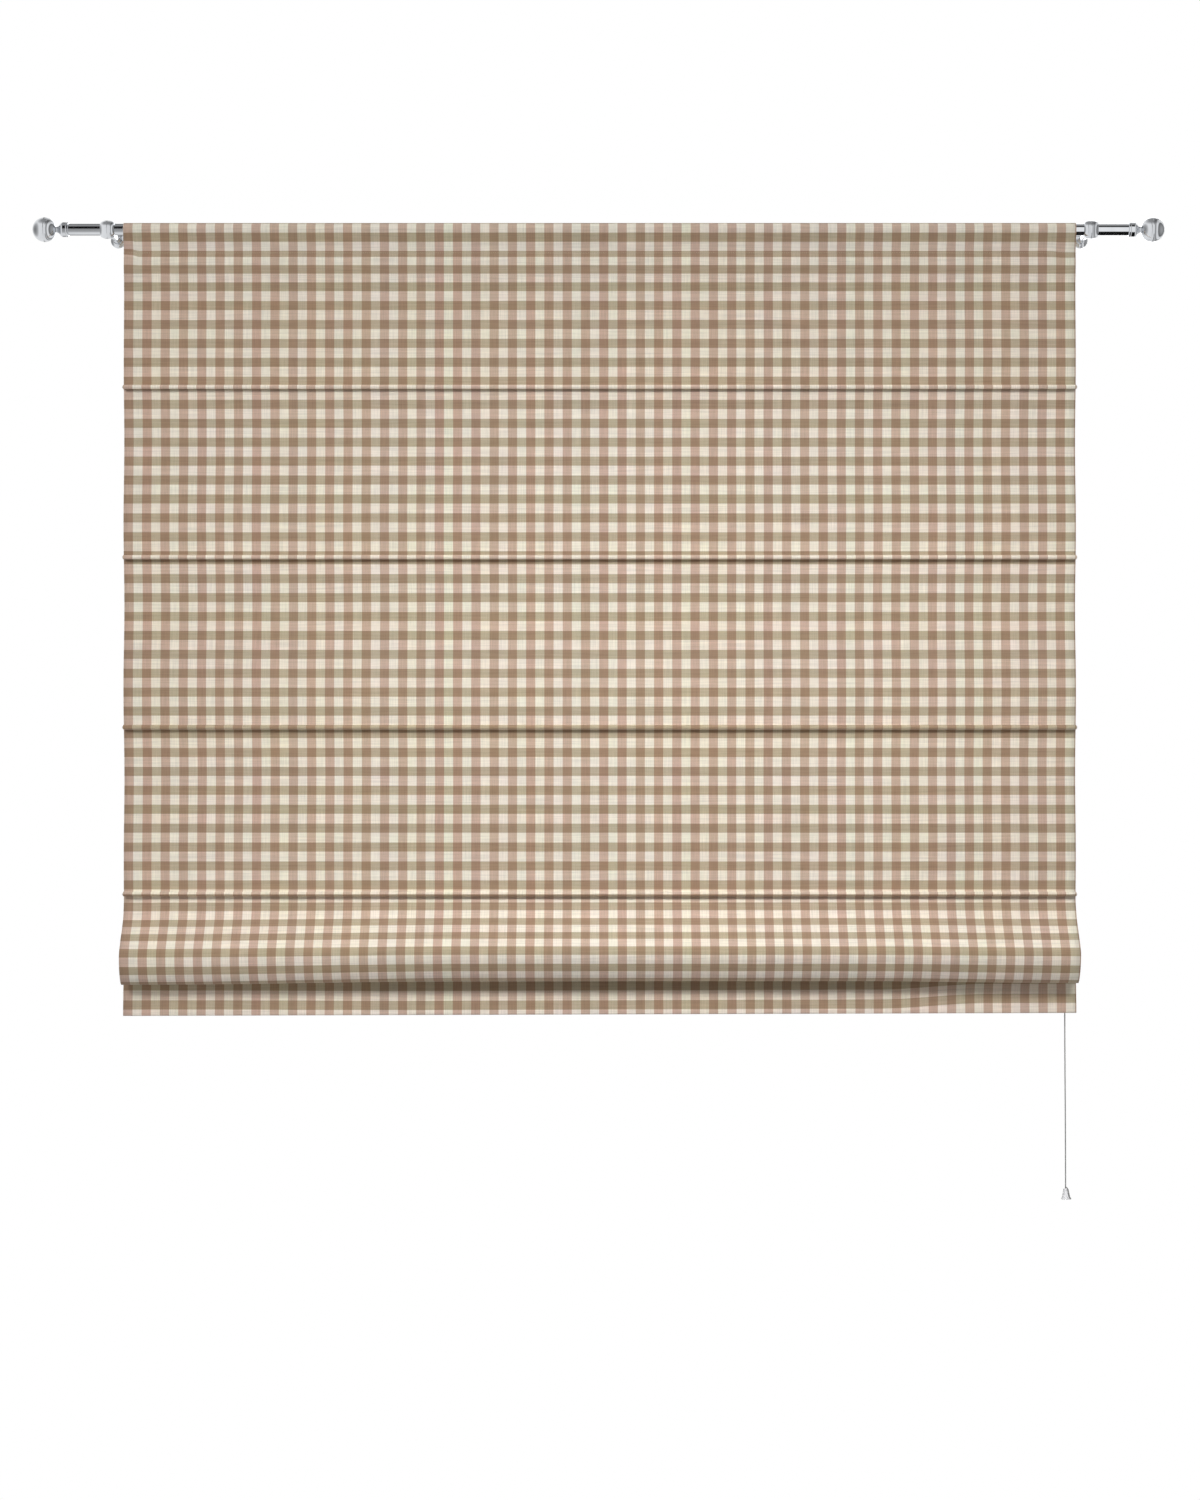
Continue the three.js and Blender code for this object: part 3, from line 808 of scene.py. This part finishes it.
def sideSeams():
    # Down both turned side hems, on the back, panel by panel
    lines = []
    tucks = [f"tuck{index}" for index in range(len(cloth["tuckDrops"]))]
    spans = [*zip(["front", *tucks], tucks), ("skirt", "hemFront")]
    inset = cloth["sideHem"] - stitching["insideHem"]
    for sign in (-1, 1):
        share = sign * (1 - 2 * inset / cloth["width"])
        column = int(np.argmin(np.abs(hung.shares - share)))
        x = (cloth["shift"] + share * cloth["width"] / 2) * mm
        out, height = hung.out[column], hung.height[column]
        for start, end in spans:
            line = []
            for index in range(hung.parts[start] + 1, hung.parts[end]):
                slant = abs(out[index] - out[index - 1]) / max(abs(height[index] - height[index - 1]), 1e-6)
                low = height[index] < -stitching["sideTop"]
                if low and slant < stitching["flatSlant"] and abs(out[index]) < stitching["flatOut"]:
                    place = hung.surface(column, index, -cloth["thickness"] / 2)
                    line.append(Vector((x, place.y, place.z)))
            if len(line) > 2:
                lines.append(line)
    return lines


thread = threadMaterial()
stitches = stitchTree(thread)
face = cloth["thickness"] / 2
hemSeam = cloth["hemDepth"] - cloth["hemBottom"]
seams = {
    "stitching_front": {
        "away": (0, -1, 0),
        "lines": [
            seamAcross("front", -cloth["pocketSeam"], face),
            seamAcross("front", -cloth["flapSeam"], face),
            seamAcross("skirt", hemSeam, face, cloth["hemSlope"]),
        ],
    },
    "stitching_back": {
        "away": (0, 1, 0),
        "lines": [
            seamAcross("flap", -cloth["flapSeam"], face),
            seamAcross("flap", -cloth["pocketSeam"] - stitching["belowPocketSeam"], face),
            seamAcross("fold", hemSeam, face, cloth["hemSlope"]),
            *sideSeams(),
        ],
    },
}
stitchValues = {key.capitalize(): stitching[key] * mm for key in ("pitch", "length", "radius")}
stitchPieces = [
    runTree(curvePiece(name, seam["lines"]), stitches, {**stitchValues, "Away": seam["away"]})
    for name, seam in seams.items()
]
print("stitching", [len(piece.data.polygons) for piece in stitchPieces])


# Rods: glass fibre, 4 mm, white, pushed through the tucks, with rounded ends that stand out at both sides
rods = {
    "radius": 2.0,
    "overhang": 1.8,
    "round": 0.9,
    "roundEdge": 0.3,
    "colour": "#EDECE6",
    "streak": "#DAD8CF",
}


def rodMaterial():
    # Pultruded glass fibre in white resin: fine streaks along the rod, dull gloss
    material, add = newMaterial("glass_fibre_white_resin")
    place = add("TexCoord").outputs["Object"]
    stretched = add("Mapping", {"Vector": place, "Scale": (6.0, 2600.0, 2600.0)})  # 0.4 mm wide
    streaks = add("TexNoise", {"Vector": stretched, "Scale": 1.0, "Detail": 2.0})
    colour = add("Mix", {0: streaks, 6: srgb(rods["colour"]), 7: srgb(rods["streak"])}, data_type="RGBA")
    bump = add("Bump", {"Height": streaks, "Strength": 0.2, "Distance": 0.1 * mm})
    return finishMaterial(material, {"Base Color": colour, "Normal": bump, "Roughness": 0.42, "IOR": 1.5})


def makeRods(material):
    half = cloth["width"] / 2 + rods["overhang"]
    radius, ease, edge = rods["radius"], rods["round"], rods["roundEdge"]
    profile = [(-half, 0), (-half, radius - ease), (-half + edge, radius - edge), (-half + ease, radius)]
    profile += [(-along, away) for along, away in reversed(profile)]
    places = [(cloth["rodOut"], -drop + cloth["rodRise"]) for drop in cloth["tuckDrops"]]
    places.append((0, -cloth["liftLine"] - cloth["liftedRodDrop"]))
    return [
        turnedPiece(
            f"stiffening_rod_{index + 1}",
            profile,
            (cloth["shift"] * mm, hangPlane - out * mm, height * mm),
            (1, 0, 0),
            material,
            sides=20,
            closed=False,
            sharpAngle=50,
        )
        for index, (out, height) in enumerate(places)
    ]


rodFinish = rodMaterial()
rodPieces = makeRods(rodFinish)
print("rods", len(rodPieces))


# Fittings: chrome plate on turned steel
chrome = {
    "colour": "#DCDEE1",
    "worn": "#C6C9CD",
    "poleShift": -1.2,
    "poleHalf": 880,
    "poleRadius": 9.5,
    "poleWall": 1.2,
    "capEntry": 870,
    "bore": 9.75,
    "ringSpacing": 1614,
    "ringHalf": 11.5,
    "ringRadius": 14.8,
    "armRadius": 5,
    "armGap": 0.5,  # the arm starts this far behind the ring
    "collarRadius": 6,
    "plateRadius": 12.5,
    "plateDepth": 9,
    "ballCentre": 39.5,
    "ballRadius": 20,
    "neckRadius": 5.6,  # where the neck meets the ball
    "edge": 0.3,
}


def chromeMaterial():
    # Polished chrome plate: mirror clear, with hairline rubbing marks that only just dull it
    material, add = newMaterial("chrome_plate_polished")
    place = add("TexCoord").outputs["Object"]
    rubbed = add("Mapping", {"Vector": place, "Scale": (40.0, 900.0, 900.0)})  # 25 mm long, 1 mm wide
    marks = add("TexNoise", {"Vector": rubbed, "Scale": 1.0, "Detail": 3.0})
    dull = add("MapRange", {"Value": marks, "To Min": 0.02, "To Max": 0.07})
    film = add("TexNoise", {"Vector": place, "Scale": 45.0, "Detail": 2.0})  # patches of 22 mm
    colour = add("Mix", {0: film, 6: srgb(chrome["colour"]), 7: srgb(chrome["worn"])}, data_type="RGBA")
    bump = add("Bump", {"Height": marks, "Strength": 0.01, "Distance": 0.05 * mm})
    return finishMaterial(
        material, {"Base Color": colour, "Roughness": dull, "Normal": bump, "Metallic": 1.0}
    )


def arcOf(centre, radius, start, end, steps):
    # From a start to an end angle round (centre, 0); an angle of 0 points along the axis
    angles = [math.radians(lerp(start, end, i / steps)) for i in range(steps + 1)]
    return [(centre + radius * math.cos(a), max(radius * math.sin(a), 0)) for a in angles]


def finialProfile():
    # From the socket's bottom round the open end, over the cap and its bead to the neck and the ball
    bore = chrome["bore"]
    socket = [(11.3, 0), (11.3, bore), (0.3, bore), (0, bore + 0.3)]
    cap = [(0, 11.5), (0.15, 11.85), (0.5, 12), (0.7, 12), (2.4, 12), (2.6, 12), (2.8, 11.75), (3.3, 11.7)]
    cap += [(3.6, 11.85), (4, 11.85), (9.2, 11.85), (9.6, 11.85)]
    shoulder = [(9.6, 11.85), (11.3, 11.35), (13.2, 9.8), (15, 7.6), (16.5, 5.9), (18, 4.9), (19.2, 4.8)]
    shoulder = smoothProfile([*shoulder, (20.2, 5.4)])
    start = 180 - math.degrees(math.asin(chrome["neckRadius"] / chrome["ballRadius"]))
    return [*socket, *cap, *shoulder[1:], *arcOf(chrome["ballCentre"], chrome["ballRadius"], start, 0, 40)]


def ringProfile():
    # A barrel round the pole, open at both ends, with a thin rolled lip
    half, bore, radius = chrome["ringHalf"], chrome["bore"], chrome["ringRadius"]
    outside = smoothProfile(
        [(-half, 11.2), (-half + 0.5, 11.9), (-half + 2.5, 13.2), (-half + 6, 14.4), (0, radius)], 5
    )
    outside += [(-along, away) for along, away in reversed(outside[:-1])]
    inside = [(half - 0.3, 10.7), (half - 2, bore), (-half + 2, bore), (-half + 0.3, 10.7)]
    return [*outside, *inside]


def plateProfile():
    # Domed rosette on the wall, with a stepped boss that the arm screws into
    depth, radius = chrome["plateDepth"], chrome["plateRadius"]
    dome = smoothProfile(
        [(-depth + 2.2, 7.4), (-depth + 3.2, 9.3), (-depth + 4.8, 11.1), (-3, 12.2), (-1.4, radius)], 5
    )
    return [(-depth, 0), (-depth, 6.8), (-depth + 0.4, 7.2), (-depth + 1.8, 7.2), *dome, (0, radius), (0, 0)]


def armProfile():
    # A plain rod with a collar near the wall
    start = hangPlane / mm + chrome["ringRadius"] + chrome["armGap"]
    radius, collar = chrome["armRadius"], chrome["collarRadius"]
    rod = [(start, 0), (start, radius - 0.4), (start + 0.4, radius), (-22, radius)]
    foot = [(-13.4, radius), (-9.7, radius), (-9.3, radius - 0.4), (-9.3, 0)]
    return [*rod, (-21.4, collar), (-14, collar), *foot]


chromeFinish = chromeMaterial()


def makeFittings():
    made = {}
    half, outer = chrome["poleHalf"], chrome["poleRadius"]
    inner, edge = outer - chrome["poleWall"], chrome["edge"]
    tube = [(-half, inner), (-half, outer - edge), (-half + edge, outer)]
    tube += [(-along, radius) for along, radius in reversed(tube)]
    middle = chrome["poleShift"] * mm
    made["pole"] = turnedPiece("curtain_pole", tube, (middle, hangPlane, 0), (1, 0, 0), chromeFinish)
    for name, sign in (("left", -1), ("right", 1)):
        x = sign * chrome["ringSpacing"] / 2 * mm
        entry = middle + sign * chrome["capEntry"] * mm
        pieces = {
            "finial": ("ball_finial", finialProfile(), (entry, hangPlane, 0), (sign, 0, 0), 72, False),
            "ring": ("bracket_ring", ringProfile(), (x, hangPlane, 0), (1, 0, 0), 72, True),
            "wall_plate": ("rosette", plateProfile(), (x, 0, 0), (0, 1, 0), 72, False),
            "arm": ("bracket_arm", armProfile(), (x, 0, 0), (0, 1, 0), 48, False),
        }
        for node, (title, profile, place, axis, sides, closed) in pieces.items():
            made[f"{node}_{name}"] = turnedPiece(
                f"{title}_{name}", profile, place, axis, chromeFinish, sides, closed
            )
    return made


fittings = makeFittings()
print("fittings", len(fittings))


# Plastic: cord guide on the back of the heading and the bell on the cord's end
plastic = {
    "colour": "#EFEFED",
    "bellColour": "#F6F6F8",
    "guideX": 767,
    "guideTop": 46,
    "guideBottom": 74,
    "guideWidth": 16,
    "guideDepth": 14,
    "guideGap": 0.9,  # behind the flap
    "guideRound": 2.2,
    "recessRim": 1.6,
    "recessDepth": 1.2,
    "holeBehind": 12,
    "bellX": 768,
    "bellBehind": 15,
    "bellTop": 1575.5,
    "bellHeight": 18.5,
}


def plasticMaterial(name, hexColour):
    # Injection moulded acetal: soft gloss, a fine grain and faint flow marks
    material, add = newMaterial(name)
    place = add("TexCoord").outputs["Object"]
    flow = add("TexNoise", {"Vector": place, "Scale": 90.0, "Detail": 3.0})  # over about 11 mm
    grain = add("TexNoise", {"Vector": place, "Scale": 1400.0, "Detail": 2.0})  # a grain of 0.7 mm
    light = add("MapRange", {"Value": flow, "To Min": 0.94, "To Max": 1.03})
    colour = add("VectorMath", {0: srgb(hexColour)[:3], "Scale": light}, "SCALE")
    bump = add("Bump", {"Height": grain, "Strength": 0.15, "Distance": 0.1 * mm})
    return finishMaterial(material, {"Base Color": colour, "Normal": bump, "Roughness": 0.4, "IOR": 1.48})


def makeGuide(material):
    # A moulded block with rounded edges, a recess in its back and a lipped hole where the cord comes out
    front = hangPlane + (2 * cloth["layer"] + plastic["guideGap"]) * mm
    back = front + plastic["guideDepth"] * mm
    low, high = -plastic["guideBottom"] * mm, -plastic["guideTop"] * mm
    middle = Vector((plastic["guideX"] * mm, (front + back) / 2, (low + high) / 2))
    size = (plastic["guideWidth"] * mm, back - front, high - low)
    shell = bmesh.new()
    bmesh.ops.create_cube(shell, size=1)
    for vertex in shell.verts:
        vertex.co = middle + Vector([a * b for a, b in zip(vertex.co, size)])
    rounding = plastic["guideRound"] * mm
    bmesh.ops.bevel(shell, geom=shell.edges[:], offset=rounding, segments=4, profile=0.5, affect="EDGES")
    rear = max(shell.faces, key=lambda f: f.normal.y * f.calc_area())
    bmesh.ops.inset_region(shell, faces=[rear], thickness=plastic["recessRim"] * mm)
    bmesh.ops.inset_region(shell, faces=[rear], thickness=0.3 * mm, depth=-plastic["recessDepth"] * mm)
    mesh = bpy.data.meshes.new("cord_exit_guide")
    shell.normal_update()
    shell.to_mesh(mesh)
    shell.free()
    mesh.materials.append(material)
    mesh.shade_smooth()
    mesh.set_sharp_from_angle(angle=math.radians(30))
    piece = linked("cord_exit_guide", mesh)
    eyelet = turnedPiece(
        "guide_eyelet",
        [(0.6, 1.3), (0.6, 2.6), (0, 3), (-0.7, 2.8), (-1, 2.1), (-0.7, 1.5), (0, 1.25)],
        (plastic["guideX"] * mm, hangPlane + plastic["holeBehind"] * mm, low - 0.05 * mm),
        (0, 0, 1),
        chromeFinish,
        sides=32,
        sharpAngle=60,
    )
    return piece, eyelet


def bellProfile():
    height = plastic["bellHeight"]
    outside = smoothProfile(
        [
            (0, 2.6), (-0.5, 3.3), (-2, 3.8), (-height * 0.35, 4.5), (-height * 0.6, 5.4),
            (-height * 0.85, 6.7), (-height + 0.9, 7.3),
        ],
        5,
    )
    rim = [(-height + 0.3, 7.4), (-height, 7.1), (-height, 6.6), (-height + 0.4, 6.3)]
    inside = [(-height * 0.6, 4.5), (-5, 3.2), (-4.6, 1.3), (0, 1.3)]
    return [*outside, *rim, *inside]


plasticFinish = plasticMaterial("acetal_moulded_white", plastic["colour"])
bellFinish = plasticMaterial("acetal_moulded_milky", plastic["bellColour"])
guidePiece, eyeletPiece = makeGuide(plasticFinish)
bellPiece = turnedPiece(
    "bell_pull",
    bellProfile(),
    (plastic["bellX"] * mm, hangPlane + plastic["bellBehind"] * mm, -plastic["bellTop"] * mm),
    (0, 0, 1),
    bellFinish,
    sides=48,
)


# Overhand knot drawn tight under the crown of the bell: a closed, lumpy turn of the same cord
knot = {"drop": 1586.9, "away": 1.15, "lump": 0.45, "rise": 1.1, "steps": 48}


def makeKnot():
    centre = Vector((plastic["bellX"] * mm, hangPlane + plastic["bellBehind"] * mm, -knot["drop"] * mm))
    line = []
    for i in range(knot["steps"] + 1):
        t = math.tau * i / knot["steps"]
        away = knot["away"] + knot["lump"] * math.cos(3 * t)
        turned = Vector((away * math.cos(2 * t), away * math.sin(2 * t), knot["rise"] * math.sin(3 * t)))
        line.append(centre + turned * mm)
    return runTree(curvePiece("cord_stop_knot", [line]), cordTree, cordValues)


knotPiece = makeKnot()
print("plastic and knot")


# Light: gridded panels above the front and at each side, small ones low down at the left, under the pleat and
# at the bell, and one from behind for the back, in a pale studio
lights = {  # place, aim, size, watts, beam
    "above": ((0.1, -2.8, 1.1), (0.1, -0.1, -1.15), (1.6, 0.8), 4.05, 46),
    "left": ((-2.2, -2.4, 0.7), (-0.65, -0.1, -0.4), (1.0, 1.0), 4.6, 65),
    "leftLow": ((-1.7, -2.2, -1.0), (-0.75, -0.15, -1.18), (0.5, 0.5), 0.09, 22),
    "right": ((1.8, -2.6, 1.0), (0.6, -0.1, -0.75), (1.2, 0.8), 3.6, 60),
    "below": ((0.1, -0.35, -2.2), (0.1, -0.16, -1.2), (1.8, 0.4), 0.55, 60),
    "bell": ((1.3, -1.7, -1.5), (0.77, -0.1, -1.61), (0.3, 0.3), 0.05, 16),
    "back": ((0.4, 2.6, 0.4), (0, 0, -0.7), (2.5, 2.0), 45, 180),
}
studio = {
    "ambient": [  # from straight down to straight up
        (0.0, 0.16), (0.15, 0.3), (0.3, 0.46), (0.46, 0.42), (0.53, 0.06), (0.68, 0.06), (0.76, 0.52),
        (1.0, 0.46),
    ],
    "leftBands": [  # round the pole, from straight behind over below, the front and above
        (0.0, 0.4), (0.12, 0.45), (0.19, 1.0), (0.3, 0.95), (0.38, 0.5), (0.52, 0.34), (0.545, 0.005),
        (0.65, 0.005), (0.68, 0.3), (0.74, 0.42), (0.85, 0.2), (1.0, 0.2),
    ],
    "rightBands": [
        (0.0, 0.5), (0.08, 0.4), (0.12, 0.005), (0.355, 0.005), (0.385, 1.15), (0.6, 1.15), (0.625, 0.08),
        (0.71, 0.06), (0.75, 0.6), (1.0, 0.5),
    ],
    "boxes": [  # softboxes from the left to the right; the pole sees its bands in the gaps between them
        (0.0, 0.3, 1), (0.08, 0.6, 1), (0.16, 1.05, 1), (0.405, 1.0, 1), (0.41, 1.0, 0), (0.431, 1.0, 0),
        (0.436, 0.95, 1), (0.564, 0.95, 1), (0.569, 0.95, 0), (0.59, 0.95, 0), (0.595, 0.8, 1),
        (0.66, 0.45, 1), (0.72, 0.35, 1), (0.75, 1.05, 1), (0.84, 0.95, 1), (0.88, 0.18, 1), (1.0, 0.45, 1),
    ],
    "halfBlend": 0.08,  # the left bands turn into the right ones over this
    "dimFrom": 0.7,  # the softboxes dim towards the top
    "dimTo": 0.95,
    "dimmed": 0.35,
}
floor = {
    "height": -2.35,
    "side": 4,
    "front": -6,
    "back": 0.8,
    "glow": 0.3,
    "colour": "#F1F0EE",
    "shade": "#EAE9E6",
}


def addLight(name, place, aim, size, watts, beam):
    lamp = bpy.data.lights.new(name, "AREA")
    lamp.shape = "RECTANGLE"
    lamp.size, lamp.size_y = size
    lamp.energy = watts
    lamp.spread = math.radians(beam)
    light = linked(name, lamp)
    light.location = place
    light.rotation_euler = (Vector(aim) - Vector(place)).to_track_quat("-Z", "Y").to_euler()
    light.visible_camera = False
    light.visible_glossy = name == "back"


def fillRamp(node, stops):
    elements = node.color_ramp.elements
    while len(elements) < len(stops):
        elements.new(0.5)
    for element, (position, level, *solid) in zip(elements, stops):
        element.position = position
        element.color = (level, level, level, *(solid or [1]))
    return node


def makeStudio():
    world = bpy.data.worlds.new("studio")
    scene.world = world
    world.use_nodes = True
    world.node_tree.nodes.clear()
    add = partial(addNode, world.node_tree)
    rays = add("LightPath").outputs
    direction = add("TexCoord").outputs["Generated"]
    parts = add("SeparateXYZ", [direction]).outputs
    upShare = add("Math", [parts[2], 0.5, 0.5], "MULTIPLY_ADD")
    ambient = fillRamp(add("ValToRGB", [upShare]), studio["ambient"])
    forward = add("Math", [parts[1], -1.0], "MULTIPLY")
    turn = add("Math", [parts[2], forward], "ARCTAN2")
    turnShare = add("Math", [turn, 1 / math.tau, 0.5], "MULTIPLY_ADD")
    leftBands = fillRamp(add("ValToRGB", [turnShare]), studio["leftBands"])
    rightBands = fillRamp(add("ValToRGB", [turnShare]), studio["rightBands"])
    blend = studio["halfBlend"]
    rightHalf = add("MapRange", {"Value": parts[0], "From Min": -blend, "From Max": blend})
    bands = add("Mix", {0: rightHalf, 6: leftBands, 7: rightBands}, data_type="RGBA")
    rightShare = add("Math", [parts[0], 0.5, 0.5], "MULTIPLY_ADD")
    boxes = fillRamp(add("ValToRGB", [rightShare]), studio["boxes"])
    dimming = {"From Min": studio["dimFrom"], "From Max": studio["dimTo"], "To Max": studio["dimmed"]}
    dimmed = add("MapRange", {"Value": parts[2], "To Min": 1.0, **dimming})
    panels = add("VectorMath", {0: boxes, "Scale": dimmed}, "SCALE")
    reflected = add("Mix", {0: boxes.outputs["Alpha"], 6: bands, 7: panels}, data_type="RGBA")
    soft = add("Background", {"Color": ambient})
    mirrored = add("Background", {"Color": reflected})
    seen = add("Background", {"Color": (1, 1, 1, 1)})
    mixed = add("MixShader", [rays["Is Glossy Ray"], soft, mirrored])
    final = add("MixShader", [rays["Is Camera Ray"], mixed, seen])
    add("OutputWorld", {"Surface": final})


def makeFloor():
    # Pale studio floor, lit a little from within so that it stays pale where the gridded lights don't reach
    material, add = newMaterial("pale_painted_floor")
    place = add("TexCoord").outputs["Object"]
    drift = add("TexNoise", {"Vector": place, "Scale": 3.0, "Detail": 4.0})
    tones = {6: srgb(floor["colour"]), 7: srgb(floor["shade"])}
    colour = add("Mix", {0: drift, **tones}, data_type="RGBA")
    glow = {"Emission Color": (1, 1, 1, 1), "Emission Strength": floor["glow"]}
    finishMaterial(material, {"Base Color": colour, "Roughness": 0.8, **glow})
    side, front, back = floor["side"], floor["front"], floor["back"]
    corners = [(-side, front), (side, front), (side, back), (-side, back)]
    ground = meshPiece("floor", [(x, y, floor["height"]) for x, y in corners], [(0, 1, 2, 3)], [material])
    ground.visible_glossy = False
    ground.visible_diffuse = False


for name, facts in lights.items():
    addLight(name, *facts)
makeStudio()
makeFloor()
print("studio")


# What each piece stands for, and the finish that it takes
standsFor = [
    (pullCord, "cord", ["draw_cord"]),
    (looseEnd, "cord", []),
    (knotPiece, "cord", ["cord_knot"]),
    (bellPiece, "plastic", ["cord_pull"]),
    (guidePiece, "plastic", ["cord_guide"]),
    (eyeletPiece, "chrome", []),
    (blindSheet, "cloth", ["blind_cloth"]),
    *[(piece, "cloth", []) for piece in stitchPieces],
    *[(piece, "rod", [f"rod_{index + 1}"]) for index, piece in enumerate(rodPieces)],
    *[(piece, "chrome", [node]) for node, piece in fittings.items()],
]
for piece, slot, nodes in standsFor:
    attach(piece, "root")
    if nodes:
        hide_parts(*nodes)
